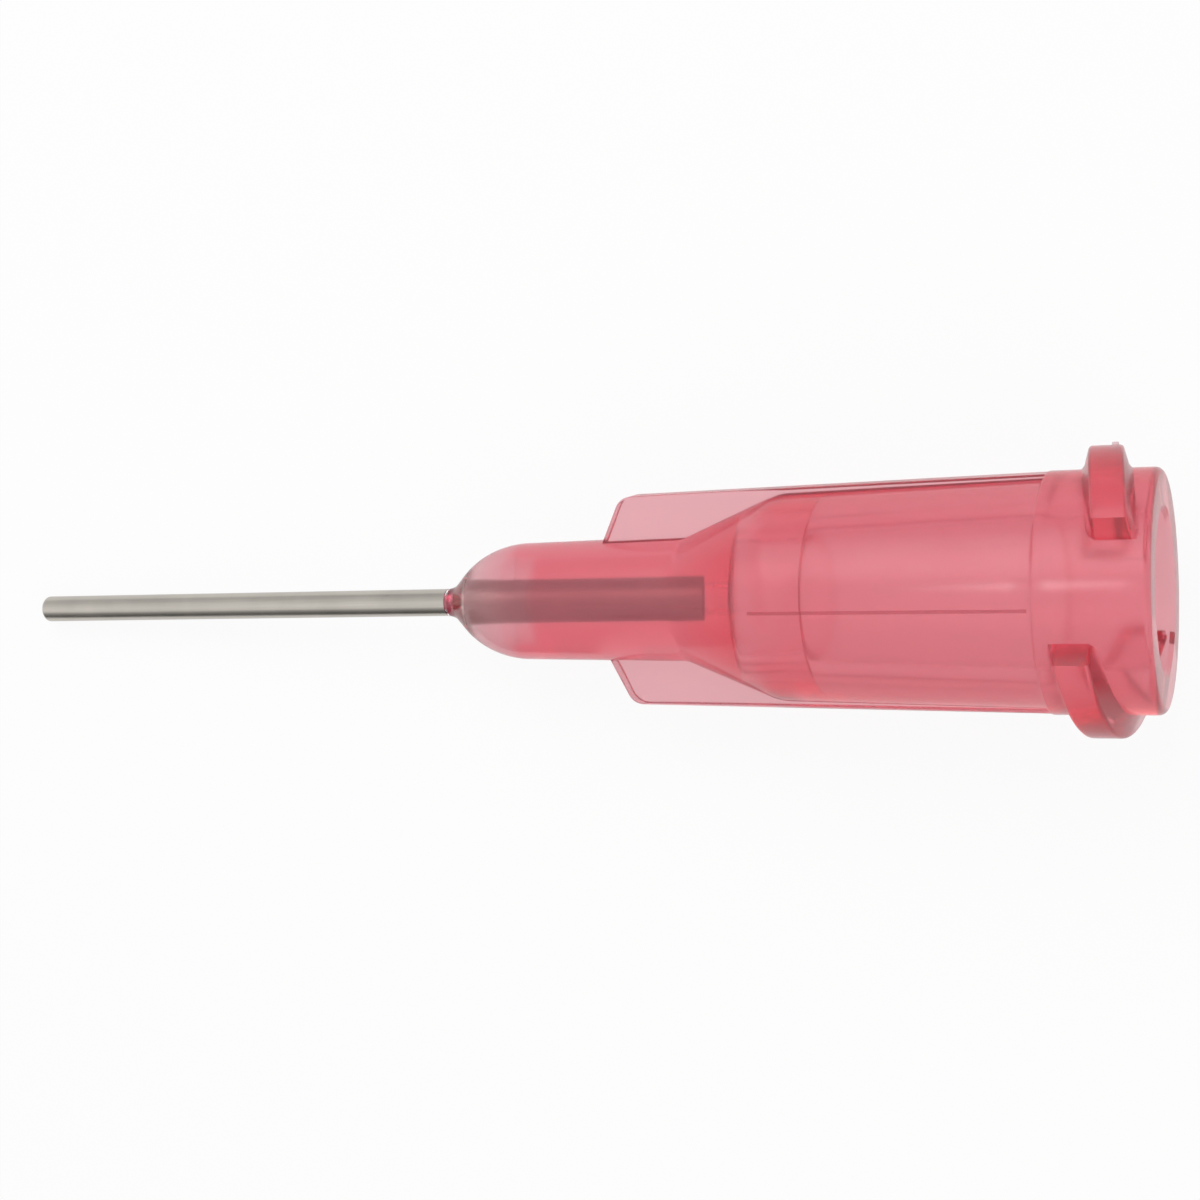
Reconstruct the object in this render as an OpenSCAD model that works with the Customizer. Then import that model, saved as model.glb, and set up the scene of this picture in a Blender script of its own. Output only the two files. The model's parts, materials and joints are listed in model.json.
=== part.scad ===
// Luer-lock dispensing needle tip: a moulded plastic hub, a bonded steel cannula and its adhesive.
// It is built along its own axis, from the hub's open rear rim at zero to the cannula's free end,
// and is then laid down as it comes to rest: on the front shoulder of the barrel and on the tip.

/* [Cannula] */
// Outside diameter of the steel tube
cannula_od = 0.82; // [0.5:0.01:1.2]
// Bore of the steel tube
cannula_id = 0.51; // [0.2:0.01:0.48]
// Whole length of the tube, its bonded end included
cannula_len = 23.6; // [18:0.5:40]
// Rounding of the outer edge at the free end
tip_round = 0.12; // [0.02:0.01:0.12]
// Radial clearance between the tube and the hub's bore
cannula_clearance = 0.02; // [0.01:0.01:0.05]

/* [Luer socket] */
// Diameter of the tapered socket at its mouth
socket_mouth_d = 4.3; // [4:0.05:4.5]
// Taper of the socket on its diameter, in percent
socket_taper = 6; // [4:0.5:8]
// Depth of the tapered length
socket_depth = 9.4; // [7:0.1:9.8]
// Chamfer round the mouth
mouth_chamfer = 0.12; // [0.05:0.01:0.2]
// Diameter of the small chamber beyond the taper
chamber_d = 3.2; // [2:0.1:3.4]
// Depth of the chamber, from the end of the taper to its flat floor
chamber_depth = 1.95; // [1:0.1:2.8]
// Diameter of the fluid channel between the chamber and the tube
channel_d = 0.6; // [0.4:0.05:0.7]
// Length of the channel, which leaves the shoulder that stops the tube
channel_len = 0.9; // [0.4:0.05:1.5]

/* [Hub] */
// Length of the moulding, from rear rim to nose lip
hub_len = 20; // [19.4:0.1:22]
// Diameter of the rear collar
collar_d = 6.56; // [6.3:0.02:7]
// Length of the rear collar
collar_len = 2.97; // [2.6:0.05:3.5]
// Rounding of the rear rim's outer edge
rim_round = 0.2; // [0.05:0.01:0.3]
// Diameter of the barrel where it leaves the collar
barrel_d = 6.24; // [6:0.02:6.3]
// Diameter of the barrel at its front end
barrel_front_d = 5.9; // [5.6:0.02:6]
// Distance of the barrel's front end from the rear rim
barrel_end = 10.2; // [10:0.1:11]
// Radius of the shoulder between barrel and cone
shoulder_round = 1.5; // [0.5:0.1:2]
// Angle of the cone to the axis
cone_angle = 22; // [20:1:35]
// Diameter of the nose where the cone ends
nose_back_d = 3.62; // [3.4:0.02:3.8]
// Diameter of the nose where its rounded end starts
nose_front_d = 3.46; // [3.2:0.02:3.6]
// Length of the rounded end, up to the lip
ogive_len = 1.7; // [1.4:0.1:1.9]
// Radius of the rounded end's curve
ogive_round = 2.87; // [2.6:0.01:4]

/* [Wings] */
// Thickness of each wing
wing_t = 0.9; // [0.6:0.05:1.2]
// Distance from the axis to a wing's edge at its front
wing_front_reach = 3.04; // [2.8:0.02:3.2]
// Distance from the axis to a wing's edge at the collar
wing_back_reach = 3.24; // [3.1:0.02:3.27]
// Distance of the wings' front edge from the rear rim, at the nose
wing_end = 15.75; // [14.5:0.05:17]
// Slope of the front edge back from square
wing_slope = 26; // [0:1:40]
// Rounding of the front corners
wing_round = 0.5; // [0.1:0.05:0.9]
// Turn of the wings about the axis from the middle of the lugs
wing_turn = -8.5; // [-20:0.5:20]

/* [Lugs] */
// Distance from the axis to the crest of a lug
lug_reach = 3.9; // [3.7:0.02:4]
// Width of a lug along its crest
lug_crest_w = 0.88; // [0.4:0.02:1]
// Width of a lug where it meets the collar
lug_base_w = 1.2; // [1:0.05:1.4]
// Distance of a lug's middle from the rear rim
lug_place = 1.47; // [1.4:0.01:1.6]
// Turn that each lug spans
lug_span = 134; // [60:1:160]
// Advance of the lugs along the axis in one full turn
lug_lead = 3; // [0:0.1:4]
// Slope of each lug's ends, in degrees of turn
lug_end_run = 7; // [3:1:12]
// Diameter of the pip that the mould leaves on one lug
pip_d = 0.2; // [0.1:0.02:0.3]
// Height of that pip over the crest
pip_h = 0.08; // [0.04:0.01:0.12]

/* [Adhesive] */
// Diameter of the well in the nose that holds the adhesive
well_d = 2.1; // [1.9:0.05:2.2]
// Depth of the well from the lip
well_depth = 1.17; // [0.8:0.01:1.4]
// Diameter of the narrower floor of the well
well_floor_d = 1.7; // [1.3:0.05:1.8]
// Depth of that floor below the well
well_floor_depth = 0.79; // [0.4:0.01:1.2]
// Radius of the hollow curve where the adhesive runs out on the tube
meniscus_round = 0.6; // [0.3:0.05:0.8]
// Gap kept between the adhesive and what it bonds
bond_gap = 0.01; // [0.005:0.005:0.015]

/* [Hidden] */
$fn = 96;
// Length by which a cutter passes the face that it opens
over = 0.5;
// Steps of a small arc, and of a lug along its turn
arc_steps = 8;
lug_steps = 24;
// Depth of a wing's and a lug's root in the wall that carries it
root_sink = 0.12;

cannula_r = cannula_od / 2;
collar_r = collar_d / 2;
barrel_r = barrel_d / 2;
barrel_front_r = barrel_front_d / 2;
nose_back_r = nose_back_d / 2;
nose_front_r = nose_front_d / 2;

mouth_r = socket_mouth_d / 2;
socket_slope = socket_taper / 200;
socket_floor_r = mouth_r - socket_slope * socket_depth;
chamber_floor = socket_depth + chamber_depth;
tube_seat = chamber_floor + channel_len;
tip_end = tube_seat + cannula_len;

cone_start = barrel_end + shoulder_round * sin(cone_angle);
cone_start_r = barrel_front_r - shoulder_round * (1 - cos(cone_angle));
cone_end = cone_start + (cone_start_r - nose_back_r) / tan(cone_angle);
ogive_start = hub_len - ogive_len;
ogive_centre_r = nose_front_r - ogive_round;
lip_angle = asin(ogive_len / ogive_round);
lip_r = ogive_centre_r + ogive_round * cos(lip_angle);
well_floor = hub_len - well_depth;
well_end = well_floor - well_floor_depth;

// The adhesive carries the nose's curve on until it slopes at 45 degrees, then runs straight
// and turns hollow onto the tube.
cap_slope = 45;
cap_end = ogive_start + ogive_round * sin(cap_slope);
cap_end_r = ogive_centre_r + ogive_round * cos(cap_slope);
meniscus_foot = meniscus_round * (1 - cos(cap_slope));
run_out = (cap_end_r - cannula_r - bond_gap - meniscus_foot) / tan(cap_slope);
meniscus_start = cap_end + run_out;
meniscus_end = meniscus_start + meniscus_round * sin(cap_slope);

// At rest the shoulder's arc and the tube's rounded tip touch the same flat surface.
rest_a = tip_end - tip_round - barrel_end;
rest_b = barrel_front_r - shoulder_round - cannula_r + tip_round;
rest_tilt = atan(rest_b / rest_a) + asin((shoulder_round - tip_round) / norm([rest_a, rest_b]));
rest_height = barrel_end * sin(rest_tilt) + (barrel_front_r - shoulder_round) * cos(rest_tilt)
    + shoulder_round;
rear_reach = (collar_r - rim_round) * sin(rest_tilt) - rim_round * cos(rest_tilt) + rim_round;
front_reach = (tip_end - tip_round) * cos(rest_tilt) + (cannula_r - tip_round) * sin(rest_tilt)
    + tip_round;
rest_shift = (front_reach - rear_reach) / 2;

// Points of an arc about c in the plane of radius and distance along the axis
function arc(c, r, from, to, steps = arc_steps) =
    [for (i = [0 : steps]) let (a = from + (to - from) * i / steps) c + r * [cos(a), sin(a)]];

module lay_down()
    translate([rest_shift, 0, rest_height]) rotate([0, -90 - rest_tilt, 0]) children();

module hub_body()
    rotate_extrude() polygon(concat(
        [[0, 0]],
        arc([collar_r - rim_round, rim_round], rim_round, -90, 0),
        [[collar_r, collar_len], [barrel_r, collar_len]],
        arc([barrel_front_r - shoulder_round, barrel_end], shoulder_round, 0, cone_angle),
        [[nose_back_r, cone_end]],
        arc([ogive_centre_r, ogive_start], ogive_round, 0, lip_angle),
        [[0, hub_len]]
    ));

module hub_bore()
    rotate_extrude() polygon([
        [0, -over],
        [mouth_r + mouth_chamfer + over, -over],
        [mouth_r + mouth_chamfer, 0],
        [mouth_r - socket_slope * mouth_chamfer, mouth_chamfer],
        [socket_floor_r, socket_depth],
        [chamber_d / 2, socket_depth],
        [chamber_d / 2, chamber_floor],
        [channel_d / 2, chamber_floor],
        [channel_d / 2, tube_seat],
        [cannula_r + cannula_clearance, tube_seat],
        [cannula_r + cannula_clearance, well_end],
        [well_floor_d / 2, well_end],
        [well_floor_d / 2, well_floor],
        [well_d / 2, well_floor],
        [well_d / 2, hub_len + over],
        [0, hub_len + over]
    ]);

// One flat wing in the plane of the axis, on the side of +Y before its turn
module wing() {
    front_edge = wing_end - (wing_front_reach - nose_front_r) * tan(wing_slope);
    corner = [wing_front_reach - wing_round, front_edge - wing_round * tan((90 - wing_slope) / 2)];
    inner_r = cannula_r + cannula_clearance + root_sink;
    rotate([0, 0, 90 + wing_turn]) rotate([90, 0, 0])
        linear_extrude(height = wing_t, center = true) polygon(concat(
            [[inner_r, collar_len - root_sink], [wing_back_reach, collar_len - root_sink]],
            arc(corner, wing_round, 0, 90 - wing_slope),
            [[nose_front_r, wing_end], [inner_r, wing_end]]
        ));
}

// Section of a lug at a turn from its middle, as points at the inner and outer corners.
// Over the end run the crest sinks into the collar.
function lug_ring(turn) =
    let (
        rise = min(1, (lug_span / 2 - abs(turn)) / lug_end_run),
        inner_r = collar_r - root_sink,
        low_r = collar_r - root_sink / 2,
        crest_r = low_r + (lug_reach - low_r) * rise,
        crest_w = lug_base_w + (lug_crest_w - lug_base_w) * rise,
        middle = lug_place + lug_lead * turn / 360
    )
    [for (p = [[inner_r, -lug_base_w], [crest_r, -crest_w], [crest_r, crest_w], [inner_r, lug_base_w]])
        [p[0] * cos(turn), p[0] * sin(turn), middle + p[1] / 2]];

function lug_turns() = let (flat = lug_span / 2 - lug_end_run)
    concat([-lug_span / 2], [for (i = [0 : lug_steps]) -flat + 2 * flat * i / lug_steps], [lug_span / 2]);

module lug() {
    rings = [for (turn = lug_turns()) lug_ring(turn)];
    last = len(rings) - 1;
    polyhedron(
        points = [for (ring = rings) each ring],
        faces = concat(
            [[3, 2, 1, 0], [for (k = [0 : 3]) 4 * last + k]],
            [for (i = [0 : last - 1], k = [0 : 3]) let (a = 4 * i + k, b = 4 * i + (k + 1) % 4)
                each [[a, b, a + 4], [a + 4, b, b + 4]]]
        )
    );
}

module lug_pip()
    translate([0, 0, lug_place - lug_crest_w / 2 + pip_d]) rotate([-90, 0, 0])
        cylinder(d = pip_d, h = lug_reach + pip_h);

module hub()
    color([0.86, 0.4, 0.46])
    lay_down()
    difference() {
        union() {
            hub_body();
            for (side = [0, 180]) rotate([0, 0, side]) {
                wing();
                rotate([0, 0, 90]) lug();
            }
            lug_pip();
        }
        hub_bore();
    }

module cannula()
    color([0.72, 0.71, 0.68])
    lay_down()
    rotate_extrude() polygon(concat(
        [[cannula_id / 2, tube_seat], [cannula_r, tube_seat]],
        arc([cannula_r - tip_round, tip_end - tip_round], tip_round, 0, 90),
        [[cannula_id / 2, tip_end]]
    ));

module adhesive()
    color([0.9, 0.82, 0.8])
    lay_down()
    rotate_extrude() polygon(concat(
        [
            [cannula_r + bond_gap, well_end + bond_gap],
            [well_floor_d / 2 - bond_gap, well_end + bond_gap],
            [well_floor_d / 2 - bond_gap, well_floor + bond_gap],
            [well_d / 2 - bond_gap, well_floor + bond_gap],
            [well_d / 2 - bond_gap, hub_len + bond_gap],
            [lip_r, hub_len + bond_gap]
        ],
        arc([ogive_centre_r, ogive_start], ogive_round, lip_angle + 1, cap_slope),
        arc([cannula_r + bond_gap + meniscus_round, meniscus_end], meniscus_round,
            180 + cap_slope, 180)
    ));

hub();
cannula();
adhesive();
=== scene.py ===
"""A luer-lock dispensing needle tip: pink moulded hub, bonded steel cannula, clear adhesive."""

import json
import math

import bmesh
import bpy
from bpy.props import FloatProperty, FloatVectorProperty, IntProperty, PointerProperty
from mathutils import Matrix, Vector


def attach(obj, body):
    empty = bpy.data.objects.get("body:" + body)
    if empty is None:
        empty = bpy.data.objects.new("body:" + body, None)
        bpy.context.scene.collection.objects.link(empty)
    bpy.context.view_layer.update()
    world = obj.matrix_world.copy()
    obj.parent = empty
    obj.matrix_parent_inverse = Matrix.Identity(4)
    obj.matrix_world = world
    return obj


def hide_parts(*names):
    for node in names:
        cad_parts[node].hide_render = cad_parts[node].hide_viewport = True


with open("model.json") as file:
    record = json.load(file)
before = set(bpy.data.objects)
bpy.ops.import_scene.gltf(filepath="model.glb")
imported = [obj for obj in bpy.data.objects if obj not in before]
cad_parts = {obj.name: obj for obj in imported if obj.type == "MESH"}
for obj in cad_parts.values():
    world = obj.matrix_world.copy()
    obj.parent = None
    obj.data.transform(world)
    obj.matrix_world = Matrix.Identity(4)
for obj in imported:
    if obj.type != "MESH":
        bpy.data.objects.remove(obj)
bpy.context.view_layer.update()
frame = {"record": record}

bl_info = {
    "name": "Dispensing Needle Tip",
    "version": (1, 0, 0),
    "blender": (4, 5, 0),
    "location": "3D View > Sidebar > Needle Tip",
    "description": "Dresses a luer-lock dispensing needle tip on its construction model",
    "category": "Object",
}

MM = 0.001
MOUNTS = {mount["name"]: mount for mount in frame["record"]["mounts"]}
SOCKET = MOUNTS["luer_socket"]
NEEDLE_R = MOUNTS["needle_outside"]["dims"]["r_mm"]


# --- Sizes and colours ----------------------------------------------------------------------


def length(name, description, millimetres):
    """A length property, shown in the scene's units."""
    return FloatProperty(name=name, description=description, default=millimetres * MM,
                         min=0, unit="LENGTH", precision=5)


def tint(name, description, *colour):
    """A colour property with red, green and blue from 0 to 1."""
    return FloatVectorProperty(name=name, description=description, default=colour,
                               min=0, max=1, size=3, subtype="COLOR")


class HubSizes(bpy.types.PropertyGroup):
    """Sizes of the moulded hub, measured from its rear rim"""

    total: length("Length", "From the rear rim to the nose lip", 20)
    collar_r: length("Collar radius", "Radius of the rear collar", 3.28)
    collar_end: length("Collar length", "Length of the rear collar", 2.97)
    collar_fillet: length("Collar fillet", "Radius where the collar steps to the barrel", 0.08)
    rim_round: length("Rim rounding", "Rounding of the rear rim", 0.2)
    barrel_r: length("Barrel radius", "Radius of the barrel at the collar", 3.12)
    barrel_front_r: length("Barrel front radius", "Radius of the barrel at its front", 2.95)
    barrel_end: length("Barrel end", "Distance to the front of the barrel", 10.2)
    shoulder: length("Shoulder radius", "Radius of the curve from barrel to cone", 1.5)
    cone_angle: FloatProperty(name="Cone angle", description="Angle of the cone to the axis",
                              default=math.radians(22), unit="ROTATION")
    nose_fillet: length("Nose fillet", "Radius where the cone runs into the nose", 0.5)
    nose_back_r: length("Nose back radius", "Radius of the nose behind", 1.81)
    nose_front_r: length("Nose front radius", "Radius of the nose where it rounds off", 1.73)
    ogive_len: length("Rounded end", "Length of the rounded end up to the lip", 1.7)
    ogive_round: length("Rounded end radius", "Radius of the rounded end's curve", 2.87)
    mouth_r: length("Mouth radius", "Radius of the tapered socket at its mouth", 2.15)
    mouth_chamfer: length("Mouth chamfer", "Chamfer round the mouth", 0.12)
    socket_depth: length("Socket depth", "Depth of the tapered length", 9.4)
    socket_slope: FloatProperty(name="Socket slope", description="Loss of radius per length",
                                default=0.03)
    chamber_r: length("Chamber radius", "Radius of the chamber beyond the taper", 1.6)
    chamber_floor: length("Chamber floor", "Distance to the flat floor of the chamber", 11.35)
    channel_r: length("Channel radius", "Radius of the channel to the tube", 0.3)
    tube_seat: length("Tube seat", "Distance to the shoulder that stops the tube", 12.25)
    tube_gap: length("Tube gap", "Clearance round the tube", 0.02)
    well_r: length("Well radius", "Radius of the adhesive well", 1.05)
    well_floor: length("Well floor", "Distance to the well's first floor", 18.83)
    well_step_r: length("Well step radius", "Radius of the well's narrow end", 0.85)
    well_end: length("Well end", "Distance to the well's last floor", 18.04)
    steps: IntProperty(name="Steps", description="Faces round the hub", default=192, min=24)


class WingSizes(bpy.types.PropertyGroup):
    """Sizes of the two flat wings"""

    thickness: length("Thickness", "Thickness of a wing", 0.9)
    front_reach: length("Front reach", "From the axis to a wing's edge at its front", 3.04)
    back_reach: length("Back reach", "From the axis to a wing's edge at the collar", 3.24)
    end: length("End", "Distance to the front edge, at the nose", 15.75)
    slope: FloatProperty(name="Slope", description="Slope of the front edge back from square",
                         default=math.radians(26), unit="ROTATION")
    corner: length("Corner", "Rounding of the front corners", 0.5)
    edge: length("Edge", "Rounding of the wing's edges", 0.06)
    turn: FloatProperty(name="Turn", description="Turn of the wings from the lugs",
                        default=math.radians(-8.5), unit="ROTATION")
    seam_w: length("Seam width", "Width of the mould's parting line", 0.09)
    seam_h: length("Seam height", "Height of the mould's parting line", 0.02)


class LugSizes(bpy.types.PropertyGroup):
    """Sizes of the two luer-lock lugs"""

    reach: length("Reach", "From the axis to the crest", 3.9)
    crest_w: length("Crest width", "Width along the crest", 0.88)
    base_w: length("Base width", "Width where it meets the collar", 1.2)
    crest_round: length("Crest rounding", "Rounding of the crest's edges", 0.12)
    place: length("Place", "Distance of a lug's middle from the rear rim", 1.47)
    lead: length("Lead", "Advance in one full turn", 3)
    span: FloatProperty(name="Span", description="Turn that a lug spans",
                        default=math.radians(134), unit="ROTATION")
    end_run: FloatProperty(name="End run", description="Turn over which an end falls away",
                           default=math.radians(7), unit="ROTATION")
    pip_r: length("Pip radius", "Radius of the pip left on one lug", 0.1)
    pip_place: length("Pip place", "Distance of the pip from the rear rim", 1.23)
    pip_h: length("Pip height", "Height of the pip over the crest", 0.08)


class TubeSizes(bpy.types.PropertyGroup):
    """Sizes of the steel tube and of the adhesive that holds it"""

    outer_r: length("Outer radius", "Outside radius of the tube", NEEDLE_R)
    inner_r: length("Inner radius", "Radius of the tube's bore", 0.255)
    total: length("Length", "Whole length of the tube", 23.6)
    tip_round: length("Tip rounding", "Rounding of the free end's outer edge", 0.12)
    bore_round: length("Bore rounding", "Rounding of the free end's inner edge", 0.02)
    meniscus: length("Meniscus", "Radius of the adhesive's hollow run-out", 0.6)
    bond_gap: length("Bond gap", "Gap kept between the adhesive and what it bonds", 0.01)


class Finishes(bpy.types.PropertyGroup):
    """Colours of the materials, as linear values"""

    hub_absorb: tint("Hub", "What the pink plastic lets through", 0.98, 0.09, 0.2)
    hub_density: FloatProperty(name="Hub density", description="Absorption of the plastic, per metre",
                               default=510)
    hub_milk: tint("Hub haze", "Colour that the plastic scatters", 0.98, 0.26, 0.36)
    milkiness: FloatProperty(name="Milkiness", description="Share of light that the plastic scatters",
                             default=0.16, min=0, max=1)
    seam: tint("Parting line", "Tint of the parting line", 0.5, 0.22, 0.24)
    # painted dark pink on the adhesive's run-out, standing in for shade and the hub seen through it
    root: tint("Adhesive at the root", "Tint of the adhesive's front end", 0.66, 0.16, 0.24)
    glue_absorb: tint("Adhesive", "What the adhesive lets through", 0.8, 0.6, 0.5)
    glue_density: FloatProperty(name="Adhesive density",
                                description="Absorption of the adhesive, per metre", default=60)
    steel: tint("Steel", "Colour of the drawn steel", 0.65, 0.61, 0.55)
    floor: tint("Floor", "Colour of the floor", 0.86, 0.86, 0.86)


class NeedleTipSettings(bpy.types.PropertyGroup):
    """All the sizes and colours of the needle tip"""

    hub: PointerProperty(type=HubSizes, name="Hub", description="Sizes of the hub")
    wing: PointerProperty(type=WingSizes, name="Wings", description="Sizes of the wings")
    lug: PointerProperty(type=LugSizes, name="Lugs", description="Sizes of the lugs")
    tube: PointerProperty(type=TubeSizes, name="Tube", description="Sizes of the tube")
    finish: PointerProperty(type=Finishes, name="Finishes", description="Colours")


# --- Places and outlines --------------------------------------------------------------------


def resting_place():
    """The matrix that lays a shape built along +Z, from the rear rim, where the part rests."""
    forward = -Vector(SOCKET["axis"]).normalized()
    side = Vector((0, 1, 0))
    turned = Matrix((side.cross(forward), side, forward)).transposed().to_4x4()
    return Matrix.Translation(SOCKET["pos_m"]) @ turned


def arc(centre, radius, start, end, steps=8):
    """Points of an arc in the plane of radius and distance, between two angles in radians."""
    return [
        (centre[0] + radius * math.cos(a), centre[1] + radius * math.sin(a))
        for a in (start + (end - start) * i / steps for i in range(steps + 1))
    ]


def rounded(corner, before, after, radius, steps=5):
    """An arc of the given radius in the corner between two neighbouring points."""
    c = Vector(corner)
    u, v = (Vector(before) - c).normalized(), (Vector(after) - c).normalized()
    half = u.angle(v) / 2
    centre = c + (u + v).normalized() * radius / math.sin(half)
    first, last = c + u * radius / math.tan(half), c + v * radius / math.tan(half)
    a0 = math.atan2(*(first - centre).yx)
    turn = (math.atan2(*(last - centre).yx) - a0 + math.pi) % (2 * math.pi) - math.pi
    return arc(centre, radius, a0, a0 + turn, steps)


def divided(points, longest):
    """The same outline with its long straight stretches cut into shorter ones."""
    result = []
    for a, b in zip(points, points[1:] + points[:1]):
        count = max(1, math.ceil(math.dist(a, b) / longest))
        result += [(a[0] + (b[0] - a[0]) * i / count, a[1] + (b[1] - a[1]) * i / count)
                   for i in range(count)]
    return result


def ogive_centre(hub):
    """Centre of the curve that rounds off the nose."""
    return (hub.nose_front_r - hub.ogive_round, hub.total - hub.ogive_len)


def outer_outline(hub):
    """The hub's outside from the rear rim to the nose lip, as points of radius and distance."""
    angle = hub.cone_angle
    cone_start = (hub.barrel_front_r - hub.shoulder * (1 - math.cos(angle)),
                  hub.barrel_end + hub.shoulder * math.sin(angle))
    cone_end = (hub.nose_back_r,
                cone_start[1] + (cone_start[0] - hub.nose_back_r) / math.tan(angle))
    shoulder = arc((hub.barrel_front_r - hub.shoulder, hub.barrel_end), hub.shoulder, 0, angle, 12)
    lip = math.asin(hub.ogive_len / hub.ogive_round)
    ogive = arc(ogive_centre(hub), hub.ogive_round, 0, lip, 16)
    rim = arc((hub.collar_r - hub.rim_round, hub.rim_round), hub.rim_round, -math.pi / 2, 0)
    step = (hub.barrel_r, hub.collar_end)
    edge = (hub.collar_r, hub.collar_end)
    return (rim + rounded(edge, rim[-1], step, hub.collar_fillet * 0.9)
            + rounded(step, edge, shoulder[0], hub.collar_fillet)
            + shoulder + rounded(cone_end, cone_start, ogive[0], hub.nose_fillet) + ogive)


def inner_outline(hub, tube):
    """The hub's inside from the well's mouth back to the socket's mouth."""
    bore = tube.outer_r + hub.tube_gap
    socket_end_r = hub.mouth_r - hub.socket_slope * hub.socket_depth
    soft = 0.1 * MM
    floor = (hub.chamber_r, hub.chamber_floor)
    channel = (hub.channel_r, hub.chamber_floor)
    seat = (hub.channel_r, hub.tube_seat)
    ledge = (hub.chamber_r, hub.socket_depth)
    taper = (socket_end_r, hub.socket_depth)
    mouth = (hub.mouth_r - hub.socket_slope * hub.mouth_chamfer, hub.mouth_chamfer)
    return ([(hub.well_r, hub.total), (hub.well_r, hub.well_floor),
             (hub.well_step_r, hub.well_floor), (hub.well_step_r, hub.well_end),
             (bore, hub.well_end), (bore, hub.tube_seat), seat]
            + rounded(channel, seat, floor, soft / 2)
            + rounded(floor, channel, ledge, soft * 2)
            + rounded(ledge, floor, taper, soft / 2)
            + rounded(taper, ledge, mouth, soft)
            + [mouth, (hub.mouth_r + hub.mouth_chamfer, 0)])


# --- Meshes ---------------------------------------------------------------------------------


def spun(outline, steps):
    """A bmesh of a closed outline of radius and distance, turned once round the Z axis."""
    bm = bmesh.new()
    ring = [bm.verts.new((r, 0, z)) for r, z in outline]
    edges = [bm.edges.new(pair) for pair in zip(ring, ring[1:] + ring[:1])]
    bmesh.ops.spin(bm, geom=ring + edges, cent=(0, 0, 0), axis=(0, 0, 1), dvec=(0, 0, 0),
                   angle=2 * math.pi, steps=steps, use_merge=True, use_duplicate=False)
    return outward(bm)


def outward(bm):
    """The same bmesh with doubles merged and its faces turned outwards."""
    bmesh.ops.remove_doubles(bm, verts=bm.verts, dist=0.0001 * MM)
    bmesh.ops.recalc_face_normals(bm, faces=bm.faces)
    return bm


def plate(outline, thickness, edge=0):
    """A bmesh of a flat plate in the XZ plane, given its outline of radius and distance."""
    bm = bmesh.new()
    face = bm.faces.new([bm.verts.new((r, -thickness / 2, z)) for r, z in outline])
    side = bmesh.ops.extrude_face_region(bm, geom=[face])
    moved = [item for item in side["geom"] if isinstance(item, bmesh.types.BMVert)]
    bmesh.ops.translate(bm, verts=moved, vec=(0, thickness, 0))
    outward(bm)
    if edge:
        rims = [e for e in bm.edges if abs(e.verts[0].co.y - e.verts[1].co.y) < thickness / 2]
        bmesh.ops.bevel(bm, geom=rims, offset=edge, affect="EDGES", segments=3, profile=0.5,
                        material=-1, clamp_overlap=True)
    return bm


def make_object(bm, name, place=None):
    """A new object from a bmesh, with its place kept in the mesh."""
    if place is not None:
        bmesh.ops.transform(bm, matrix=place, verts=bm.verts)
    mesh = bpy.data.meshes.new(name)
    bm.to_mesh(mesh)
    bm.free()
    obj = bpy.data.objects.new(name, mesh)
    bpy.context.scene.collection.objects.link(obj)
    return obj


def joined(body, parts):
    """Makes each part one with the body, as a plain mesh. The parts are used up."""
    for part in parts:
        union = body.modifiers.new("union", "BOOLEAN")
        union.operation, union.solver, union.object = "UNION", "EXACT", part
    depsgraph = bpy.context.evaluated_depsgraph_get()
    mesh = bpy.data.meshes.new_from_object(body.evaluated_get(depsgraph))
    body.modifiers.clear()
    old, body.data = body.data, mesh
    bpy.data.meshes.remove(old)
    for part in parts:
        used = part.data
        bpy.data.objects.remove(part)
        bpy.data.meshes.remove(used)
    if not body.data.polygons:
        raise RuntimeError("joining the parts left the body empty")


def smooth(obj, sharp_degrees):
    """Smooth shading, with edges sharper than the given angle left crisp."""
    obj.data.shade_smooth()
    obj.data.set_sharp_from_angle(angle=math.radians(sharp_degrees))


def wing_mesh(hub, wing):
    """One wing on the side of +X, with its root inside the hub's wall."""
    front = wing.end - (wing.front_reach - hub.nose_front_r) * math.tan(wing.slope)
    tip_angle = math.pi / 2 - wing.slope
    corner = (wing.front_reach - wing.corner, front - wing.corner * math.tan(tip_angle / 2))
    wall_r = (hub.mouth_r + hub.barrel_front_r) / 2
    core_r = hub.nose_front_r / 2
    back = hub.collar_end - 0.15 * MM
    outline = ([(wall_r, back), (wing.back_reach, back)]
               + arc(corner, wing.corner, 0, tip_angle)
               + [(hub.nose_front_r, wing.end), (core_r, wing.end),
                  (core_r, hub.tube_seat + 0.8 * MM),
                  ((hub.chamber_r + hub.nose_back_r) / 2 + 0.2 * MM, hub.chamber_floor),
                  (wall_r, hub.barrel_end - 0.5 * MM)])
    return plate(outline, wing.thickness, wing.edge)


def seam_mesh(hub, wing):
    """The parting line on the side of +X: a thin fin that stands just proud of the outside."""
    skin = [p for p in outer_outline(hub) if hub.rim_round < p[1] < hub.total - hub.ogive_len]
    proud = [(r + wing.seam_h, z) for r, z in skin]
    sunk = [(r - 2 * wing.seam_h, z) for r, z in reversed(skin)]
    return plate(proud + sunk, wing.seam_w)


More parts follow.
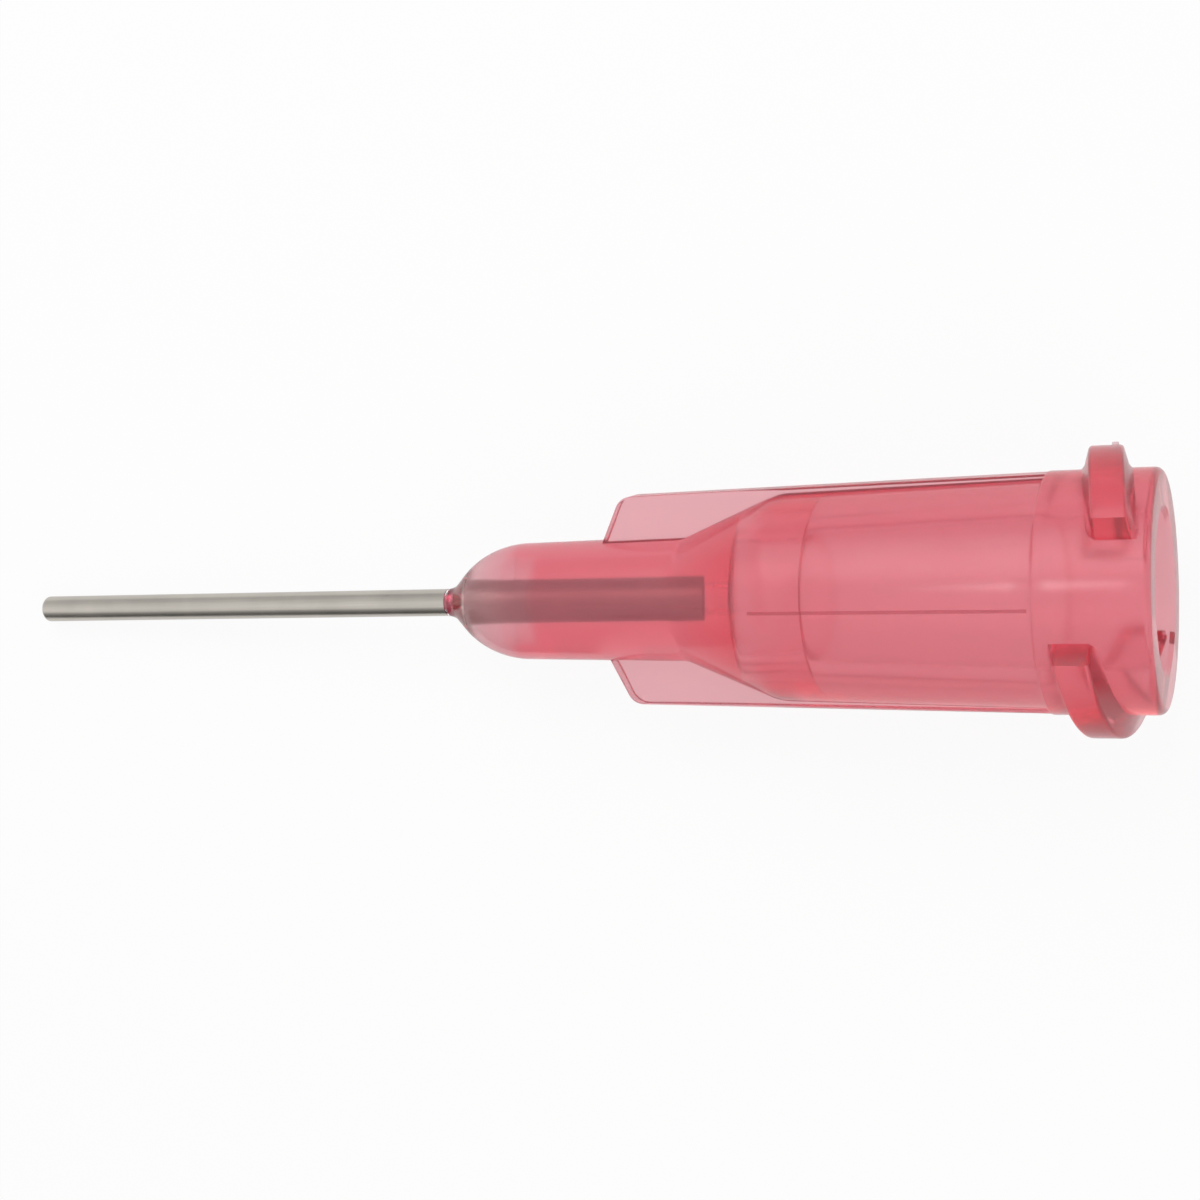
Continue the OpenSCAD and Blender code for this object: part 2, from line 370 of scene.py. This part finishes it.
def lug_mesh(hub, lug):
    """One lug about +X: its section swept along a short helix, with ends that fall away."""
    root_r = hub.collar_r - 0.1 * MM
    foot, crest = lug.base_w / 2, lug.crest_w / 2
    corners = [(root_r, -foot - 0.12 * MM), (hub.collar_r, -foot - 0.06 * MM),
               (hub.collar_r + 0.1 * MM, -foot + 0.02 * MM)]
    top = rounded((lug.reach, -crest), corners[-1], (lug.reach, crest), lug.crest_round)
    half = corners + top
    section = half + [(r, -z) for r, z in reversed(half)]
    steps = 48
    bm = bmesh.new()
    start = [bm.verts.new((r, 0, lug.place + z)) for r, z in section]
    face = bm.faces.new(start)
    step = Vector((0, 0, lug.lead * lug.span / (2 * math.pi) / steps))
    bmesh.ops.spin(bm, geom=[face], cent=(0, 0, 0), axis=(0, 0, 1), dvec=step, angle=lug.span,
                   steps=steps, use_merge=False, use_duplicate=False)
    bmesh.ops.contextual_create(bm, geom=start)
    bmesh.ops.rotate(bm, cent=(0, 0, 0), matrix=Matrix.Rotation(-lug.span / 2, 3, "Z"), verts=bm.verts)
    bmesh.ops.translate(bm, verts=bm.verts, vec=(0, 0, -lug.lead * lug.span / (4 * math.pi)))
    low = hub.collar_r - 0.06 * MM
    for vert in bm.verts:
        turn = abs(math.atan2(vert.co.y, vert.co.x))
        share = min(1, max(0, (lug.span / 2 - turn) / lug.end_run))
        radius = vert.co.xy.length
        if radius > low:
            kept = low + (radius - low) * math.sin(share * math.pi / 2)
            vert.co.xy *= kept / radius
    return outward(bm)


def pip_mesh(lug):
    """The round pip that stands on one lug's crest, on the side of +X."""
    bm = bmesh.new()
    sunk = 0.1 * MM
    bmesh.ops.create_cone(bm, cap_ends=True, cap_tris=False, segments=24, radius1=lug.pip_r,
                          radius2=lug.pip_r * 0.85, depth=lug.pip_h + sunk)
    bmesh.ops.rotate(bm, cent=(0, 0, 0), matrix=Matrix.Rotation(math.pi / 2, 3, "Y"), verts=bm.verts)
    middle = lug.reach + (lug.pip_h - sunk) / 2
    bmesh.ops.translate(bm, verts=bm.verts, vec=(middle, 0, lug.pip_place))
    return outward(bm)


def mark_bonded(obj, place, is_bonded):
    """Stores which points of a piece are wetted by the bond, as a number from 0 to 1."""
    back = place.inverted()
    layer = obj.data.attributes.new("bonded", "FLOAT", "POINT")
    values = []
    for vert in obj.data.vertices:
        p = back @ vert.co
        values.append(1.0 if is_bonded(p.xy.length, p.z) else 0.0)
    layer.data.foreach_set("value", values)


# --- Shader nodes ---------------------------------------------------------------------------


class Shade:
    """A socket of a node tree, on which Python's operators add Math nodes."""

    def __init__(self, tree, socket):
        self.tree, self.socket = tree, socket

    def math(self, operation, *others):
        return self.node("ShaderNodeMath", {"operation": operation}, [self, *others])

    def node(self, kind, settings, inputs, output=0):
        """Adds a node, sets it up, then fills its inputs, by number or name, with values or links."""
        new = self.tree.nodes.new(kind)
        for name, value in settings.items():
            setattr(new, name, value)
        pairs = inputs.items() if isinstance(inputs, dict) else enumerate(inputs)
        for key, value in pairs:
            if isinstance(value, Shade):
                self.tree.links.new(value.socket, new.inputs[key])
            elif value is not None:
                new.inputs[key].default_value = value
        return Shade(self.tree, new.outputs[output])

    def ramp(self, *stops):
        """A colour ramp over this value, from pairs of position and grey level or colour."""
        shade = self.node("ShaderNodeValToRGB", {}, [self])
        elements = shade.socket.node.color_ramp.elements
        while len(elements) < len(stops):
            elements.new(1)
        for element, (position, colour) in zip(elements, stops):
            element.position = position
            grey = isinstance(colour, (int, float))
            element.color = (colour, colour, colour, 1) if grey else (*colour, 1)
        return shade

    def __add__(self, other):
        return self.math("ADD", other)

    def __radd__(self, other):
        return self.math("ADD", other)

    def __sub__(self, other):
        return self.math("SUBTRACT", other)

    def __rsub__(self, other):
        return self.node("ShaderNodeMath", {"operation": "SUBTRACT"}, [other, self])

    def __mul__(self, other):
        return self.math("MULTIPLY", other)

    def __rmul__(self, other):
        return self.math("MULTIPLY", other)

    def __truediv__(self, other):
        return self.math("DIVIDE", other)


def new_tree(owner):
    """Empties a material's or world's node tree and returns its output node and a Shade on it."""
    owner.use_nodes = True
    tree = owner.node_tree
    tree.nodes.clear()
    kind = "ShaderNodeOutputWorld" if isinstance(owner, bpy.types.World) else "ShaderNodeOutputMaterial"
    output = tree.nodes.new(kind)
    return tree, output, Shade(tree, None)


def axis_coordinates(start, place):
    """Object coordinates turned so that Z runs along the part's own axis from the rear rim."""
    coords = start.node("ShaderNodeTexCoord", {}, {}, "Object")
    back = place.inverted()
    return start.node("ShaderNodeMapping", {"vector_type": "POINT"},
                      {"Vector": coords, "Location": back.translation,
                       "Rotation": back.to_euler("XYZ")})


def on_seam(coords, wing):
    """1 on the parting line on the upper side of the barrel, and 0 elsewhere."""
    across = Vector((math.cos(wing.turn), math.sin(wing.turn), 0))
    sideways = coords.node("ShaderNodeVectorMath", {"operation": "DOT_PRODUCT"},
                           [coords, (-across.y, across.x, 0)], "Value")
    outwards = coords.node("ShaderNodeVectorMath", {"operation": "DOT_PRODUCT"},
                           [coords, tuple(across)], "Value")
    along = coords.node("ShaderNodeSeparateXYZ", {}, [coords], "Z")
    narrow = sideways.math("ABSOLUTE").math("LESS_THAN", wing.seam_w / 2)
    line_start, line_end, line_depth = 3.1 * MM, 11.2 * MM, 2.9 * MM
    barrel = along.math("GREATER_THAN", line_start) * along.math("LESS_THAN", line_end)
    return narrow * barrel * outwards.math("GREATER_THAN", line_depth)


def plastic_material(finish, wing, place):
    """Translucent pink polypropylene: clear, tinted through its depth, with a faint moulded skin."""
    material = bpy.data.materials.new("hub_plastic")
    tree, output, start = new_tree(material)
    coords = axis_coordinates(start, place)
    skin = start.node("ShaderNodeTexNoise", {}, {"Vector": coords, "Scale": 900, "Detail": 3})
    soft = start.node("ShaderNodeTexNoise", {}, {"Vector": coords, "Scale": 260, "Detail": 2})
    bump = start.node("ShaderNodeBump", {}, {"Height": skin + soft, "Strength": 0.08,
                                             "Distance": 0.01 * MM})
    colour = on_seam(coords, wing).ramp((0.0, (0.99, 0.97, 0.97)), (1.0, finish.seam))
    clear = start.node("ShaderNodeBsdfPrincipled", {}, {
        "Base Color": colour,
        "Roughness": 0.13 + skin * 0.08,
        "IOR": 1.49,
        "Transmission Weight": 1.0,
        "Normal": bump,
    })
    milky = start.node("ShaderNodeBsdfPrincipled", {}, {
        "Base Color": (*finish.hub_milk, 1), "Roughness": 0.4, "Normal": bump})
    body = start.node("ShaderNodeMixShader", {}, [finish.milkiness, clear, milky])
    bonded = start.node("ShaderNodeAttribute", {"attribute_name": "bonded"}, {}, "Fac")
    wetted = start.node("ShaderNodeBsdfTransparent", {}, {"Color": (1, 1, 1, 1)})
    surface = start.node("ShaderNodeMixShader", {}, [bonded, body, wetted])
    volume = start.node("ShaderNodeVolumeAbsorption", {}, {
        "Color": (*finish.hub_absorb, 1), "Density": finish.hub_density})
    tree.links.new(surface.socket, output.inputs["Surface"])
    tree.links.new(volume.socket, output.inputs["Volume"])
    return material


def adhesive_material(finish, place, front):
    """Clear cured adhesive, faintly warm, that melts into what it bonds, painted dark pink past the
    lip.
    """
    material = bpy.data.materials.new("bond")
    tree, output, start = new_tree(material)
    coords = axis_coordinates(start, place)
    along = coords.node("ShaderNodeSeparateXYZ", {}, [coords], "Z")
    # painted shade and pink: past the lip the clear adhesive turns dark pink, for the hub seen through
    # it
    colour = ((along - front) / (0.4 * MM)).ramp((0.1, (1, 0.98, 0.97)), (0.4, finish.root))
    ripple = start.node("ShaderNodeTexNoise", {}, {"Vector": coords, "Scale": 700, "Detail": 2})
    bump = start.node("ShaderNodeBump", {}, {"Height": ripple, "Strength": 0.15,
                                             "Distance": 0.02 * MM})
    clear = start.node("ShaderNodeBsdfPrincipled", {}, {
        "Base Color": colour, "Roughness": 0.02 + ripple * 0.05,
        "IOR": 1.5, "Transmission Weight": 1.0, "Normal": bump})
    bonded = start.node("ShaderNodeAttribute", {"attribute_name": "bonded"}, {}, "Fac")
    wetted = start.node("ShaderNodeBsdfTransparent", {}, {"Color": (1, 1, 1, 1)})
    surface = start.node("ShaderNodeMixShader", {}, [bonded, clear, wetted])
    volume = start.node("ShaderNodeVolumeAbsorption", {}, {
        "Color": (*finish.glue_absorb, 1), "Density": finish.glue_density})
    tree.links.new(surface.socket, output.inputs["Surface"])
    tree.links.new(volume.socket, output.inputs["Volume"])
    return material


def steel_material(finish, place, front):
    """Drawn stainless steel with fine lines along the tube, small darker stains and painted shade
    inside the hub.
    """
    material = bpy.data.materials.new("needle_steel")
    tree, output, start = new_tree(material)
    coords = axis_coordinates(start, place)
    stretched = start.node("ShaderNodeMapping", {}, {"Vector": coords, "Scale": (1, 1, 0.02)})
    lines = start.node("ShaderNodeTexNoise", {}, {"Vector": stretched, "Scale": 16000, "Detail": 4,
                                                  "Roughness": 0.7})
    stains = start.node("ShaderNodeTexNoise", {}, {"Vector": coords, "Scale": 700, "Detail": 3})
    tone = lines * 0.5 + stains * 0.5
    dark = tuple(0.84 * c for c in finish.steel)
    light = tuple(min(1, 1.08 * c) for c in finish.steel)
    colour = tone.ramp((0.3, dark), (0.7, light))
    bump = start.node("ShaderNodeBump", {}, {"Height": lines, "Strength": 0.25,
                                             "Distance": 0.004 * MM})
    along = coords.node("ShaderNodeSeparateXYZ", {}, [coords], "Z")
    # painted shade: the length inside the hub is darkened by 40 % and made rougher
    in_hub_painted_shade = along.math("LESS_THAN", front)
    colour = colour.node("ShaderNodeVectorMath", {"operation": "SCALE"},
                         {"Vector": colour, "Scale": 1 - in_hub_painted_shade * 0.4})
    steel = start.node("ShaderNodeBsdfPrincipled", {}, {
        "Base Color": colour, "Metallic": 1.0,
        "Roughness": 0.22 + tone * 0.16 + in_hub_painted_shade * 0.2, "Normal": bump})
    tree.links.new(steel.socket, output.inputs["Surface"])
    return material


def seen_directly(start, *rays):
    """1 for the kinds of ray that are named, and 0 for the others."""
    path = start.tree.nodes.new("ShaderNodeLightPath")
    total = Shade(start.tree, path.outputs[rays[0]])
    for ray in rays[1:]:
        total = total.math("MAXIMUM", Shade(start.tree, path.outputs[ray]))
    return total


def floor_material(finish):
    """A pale floor that looks white, keeps a soft shadow and shows in gloss and clear plastic."""
    material = bpy.data.materials.new("floor")
    tree, output, start = new_tree(material)
    matt = start.node("ShaderNodeBsdfPrincipled", {}, {
        "Base Color": (*finish.floor, 1), "Roughness": 0.9, "Specular IOR Level": 0.1})
    camera = seen_directly(start, "Is Camera Ray")
    through = seen_directly(start, "Is Glossy Ray", "Is Transmission Ray")
    strength = camera + through * 0.84
    white = start.node("ShaderNodeEmission", {}, {"Color": (1, 1, 1, 1), "Strength": strength})
    share = camera * 0.92 + through * 0.85
    surface = start.node("ShaderNodeMixShader", {}, [share, matt, white])
    tree.links.new(surface.socket, output.inputs["Surface"])
    return material


def painted_reflection_material():
    """Painted reflection: a dark glowing sheet that pales towards its upper edge, for dark
    surroundings.
    """
    material = bpy.data.materials.new("reflection_card")
    tree, output, start = new_tree(material)
    coords = start.node("ShaderNodeTexCoord", {}, {}, "Object")
    height = start.node("ShaderNodeSeparateXYZ", {}, [coords], "Z")
    # painted reflection: the sheet's glow rises with height
    shade = (height / (8 * MM)).ramp((0.1, 0.04), (0.45, 0.16), (1.0, 0.6))
    glow = start.node("ShaderNodeEmission", {}, {"Color": shade, "Strength": 1.0})
    tree.links.new(glow.socket, output.inputs["Surface"])
    return material


# --- Operators ------------------------------------------------------------------------------


class NEEDLETIP_OT_hub(bpy.types.Operator):
    """Make the moulded hub with its wings, lugs and parting line"""

    bl_idname = "needletip.hub"
    bl_label = "Hub"

    def execute(self, context):
        settings = context.scene.needle_tip
        hub, wing, lug, tube = settings.hub, settings.wing, settings.lug, settings.tube
        place = resting_place()
        outline = outer_outline(hub) + inner_outline(hub, tube)
        body = make_object(spun(divided(outline, 0.5 * MM), hub.steps), "hub_moulding")
        parts = []
        for side in (0, math.pi):
            to_wing = Matrix.Rotation(math.pi / 2 + wing.turn + side, 4, "Z")
            to_lug = Matrix.Rotation(math.pi / 2 + side, 4, "Z")
            to_seam = Matrix.Rotation(wing.turn + side, 4, "Z")
            parts += [make_object(wing_mesh(hub, wing), "wing", to_wing),
                      make_object(lug_mesh(hub, lug), "lug", to_lug),
                      make_object(seam_mesh(hub, wing), "seam", to_seam)]
        parts.append(make_object(pip_mesh(lug), "pip", Matrix.Rotation(math.pi / 2, 4, "Z")))
        joined(body, parts)
        body.data.transform(place)
        smooth(body, 32)

        def is_bonded(radius, along):
            in_bore = radius < tube.outer_r + 1.5 * hub.tube_gap and along > hub.tube_seat - 0.01 * MM
            in_well = radius < hub.well_r + 0.03 * MM and along > hub.well_end - 0.01 * MM
            return in_bore or in_well

        mark_bonded(body, place, is_bonded)
        body.data.materials.clear()
        body.data.materials.append(plastic_material(settings.finish, wing, place))
        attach(body, "root")
        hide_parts("hub")
        return {"FINISHED"}


class NEEDLETIP_OT_cannula(bpy.types.Operator):
    """Make the steel tube with its deburred end"""

    bl_idname = "needletip.cannula"
    bl_label = "Cannula"

    def execute(self, context):
        settings = context.scene.needle_tip
        hub, tube = settings.hub, settings.tube
        place = resting_place()
        back, front = hub.tube_seat, hub.tube_seat + tube.total
        quarter = math.pi / 2
        outline = ([(tube.inner_r, back), (tube.outer_r - tube.bore_round, back),
                    (tube.outer_r, back + tube.bore_round)]
                   + arc((tube.outer_r - tube.tip_round, front - tube.tip_round), tube.tip_round,
                         0, quarter, 10)
                   + arc((tube.inner_r + tube.bore_round, front - tube.bore_round),
                         tube.bore_round, quarter, 2 * quarter, 4))
        obj = make_object(spun(divided(outline, 1 * MM), 96), "steel_cannula", place)
        smooth(obj, 40)
        obj.data.materials.append(steel_material(settings.finish, place, hub.total))
        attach(obj, "root")
        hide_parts("cannula")
        return {"FINISHED"}


class NEEDLETIP_OT_adhesive(bpy.types.Operator):
    """Make the cured adhesive with its hollow run-out on the tube"""

    bl_idname = "needletip.adhesive"
    bl_label = "Adhesive"

    def execute(self, context):
        settings = context.scene.needle_tip
        hub, tube = settings.hub, settings.tube
        place = resting_place()
        gap = tube.bond_gap
        slope = math.pi / 4
        centre = ogive_centre(hub)
        lip = math.asin(hub.ogive_len / hub.ogive_round)
        cap = arc(centre, hub.ogive_round, lip, slope, 8)
        foot = tube.meniscus * (1 - math.cos(slope))
        run = (cap[-1][0] - tube.outer_r - gap - foot) / math.tan(slope)
        end = cap[-1][1] + run + tube.meniscus * math.sin(slope)
        hollow = arc((tube.outer_r + gap + tube.meniscus, end), tube.meniscus,
                     math.pi + slope, math.pi, 12)
        bonded = [(tube.outer_r + gap, hub.well_end + gap), (hub.well_step_r - gap, hub.well_end + gap),
                  (hub.well_step_r - gap, hub.well_floor + gap),
                  (hub.well_r - gap, hub.well_floor + gap),
                  (hub.well_r - gap, hub.total + gap)]
        outline = bonded + cap + hollow
        obj = make_object(spun(divided(outline, 0.3 * MM), 128), "adhesive_fillet", place)
        smooth(obj, 40)

        def is_bonded(radius, along):
            on_tube = radius < tube.outer_r + 2 * gap and along < end - 0.02 * MM
            return on_tube or along < hub.total + 0.5 * gap

        mark_bonded(obj, place, is_bonded)
        obj.data.materials.append(adhesive_material(settings.finish, place, hub.total))
        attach(obj, "root")
        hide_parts("adhesive")
        return {"FINISHED"}


class NEEDLETIP_OT_stage(bpy.types.Operator):
    """Set the floor, the studio light and the camera"""

    bl_idname = "needletip.stage"
    bl_label = "Stage"

    def execute(self, context):
        scene = context.scene
        finish = scene.needle_tip.finish
        bm = bmesh.new()
        bmesh.ops.create_grid(bm, x_segments=1, y_segments=1, size=1.5)
        floor = make_object(bm, "floor")
        floor.data.materials.append(floor_material(finish))
        # painted reflection of dark surroundings, seen only in the steel's shine
        self.add_painted_reflection()
        self.add_world(scene)
        self.add_light("key", (-10, 70, 85), 80, 0.055, False)
        self.add_light("glint", (-14, 12, 100), 14, 0.003, True)
        self.add_light("fill", (60, -60, 70), 70, 0.02, False)
        self.add_camera(scene)
        scene.view_settings.view_transform = "Standard"
        return {"FINISHED"}

    def add_painted_reflection(self):
        """Painted reflection: a dark glowing sheet low beside the tube, which only the steel's shine
        shows.
        """
        bm = bmesh.new()
        bmesh.ops.create_grid(bm, x_segments=1, y_segments=1, size=1,
                              matrix=Matrix.Translation(Vector((-17, -6, 4)) * MM)
                              @ Matrix.Rotation(math.pi / 2, 4, "X")
                              @ Matrix.Diagonal((17 * MM, 4 * MM, 1, 1)))
        reflection_card = make_object(bm, "reflection_card")
        reflection_card.data.materials.append(painted_reflection_material())
        reflection_card.visible_camera = reflection_card.visible_diffuse = reflection_card.visible_transmission = False
        reflection_card.visible_shadow = False

    def add_light(self, name, place_mm, side_mm, watts, mirrored):
        """A square softbox that faces the middle of the part, with or without its reflection."""
        data = bpy.data.lights.new(name, "AREA")
        data.shape, data.size, data.energy = "SQUARE", side_mm * MM, watts
        light = bpy.data.objects.new(name, data)
        light.location = Vector(place_mm) * MM
        light.visible_glossy = mirrored
        light.rotation_euler = (-light.location).to_track_quat("-Z", "Y").to_euler()
        bpy.context.scene.collection.objects.link(light)

    def add_world(self, scene):
        """White to the eye, and a soft sky that is a little dimmer on the side of +Y."""
        world = bpy.data.worlds.new("studio")
        scene.world = world
        tree, output, start = new_tree(world)
        direction = start.node("ShaderNodeTexCoord", {}, {}, "Generated")
        side = start.node("ShaderNodeSeparateXYZ", {}, [direction], "Y")
        sky = (side * 0.5 + 0.5).ramp((0.5, 0.87), (0.85, 0.6), (1.0, 0.42))
        camera = seen_directly(start, "Is Camera Ray")
        seen = seen_directly(start, "Is Glossy Ray", "Is Transmission Ray")
        strength = camera + (1 - camera) * (seen * sky + (1 - seen) * 0.5)
        background = start.node("ShaderNodeBackground", {},
                                {"Color": (1, 1, 1, 1), "Strength": strength})
        tree.links.new(background.socket, output.inputs["Surface"])

    def add_camera(self, scene):
        """A camera above the part, towards its open end, with the part across the picture."""
        data = bpy.data.cameras.new("camera")
        data.sensor_width, data.lens = 36, 60.3
        data.clip_start, data.clip_end = 0.001, 10
        distance = 59.07 * MM
        tilt, roll = math.radians(22.3), math.radians(0.926)
        rear = Vector(SOCKET["axis"]).normalized()
        aim = Vector(SOCKET["pos_m"]) - rear * 16.113 * MM
        turned = Matrix.Rotation(tilt, 3, "Y") @ rear
        right, up = turned, Vector((0, 1, 0))
        back = right.cross(up)
        camera = bpy.data.objects.new("camera", data)
        axes = Matrix((right, up, back)).transposed()
        turn = Matrix.Rotation(-roll, 3, "Z")
        camera.matrix_world = Matrix.Translation(aim + back * distance) @ (axes @ turn).to_4x4()
        scene.collection.objects.link(camera)
        scene.camera = camera


class NEEDLETIP_PT_panel(bpy.types.Panel):
    """Lists the pieces of the needle tip"""

    bl_idname = "NEEDLETIP_PT_panel"
    bl_label = "Needle Tip"
    bl_space_type = "VIEW_3D"
    bl_region_type = "UI"
    bl_category = "Needle Tip"

    def draw(self, context):
        for operator in OPERATORS:
            self.layout.operator(operator.bl_idname)


OPERATORS = (NEEDLETIP_OT_hub, NEEDLETIP_OT_cannula, NEEDLETIP_OT_adhesive, NEEDLETIP_OT_stage)
GROUPS = (HubSizes, WingSizes, LugSizes, TubeSizes, Finishes, NeedleTipSettings)
CLASSES = GROUPS + OPERATORS + (NEEDLETIP_PT_panel,)


def register():
    for cls in CLASSES:
        bpy.utils.register_class(cls)
    bpy.types.Scene.needle_tip = PointerProperty(type=NeedleTipSettings)


def unregister():
    del bpy.types.Scene.needle_tip
    for cls in reversed(CLASSES):
        bpy.utils.unregister_class(cls)


def main():
    register()
    bpy.ops.needletip.hub()
    bpy.ops.needletip.cannula()
    bpy.ops.needletip.adhesive()
    bpy.ops.needletip.stage()


if __name__ == "__main__":
    main()
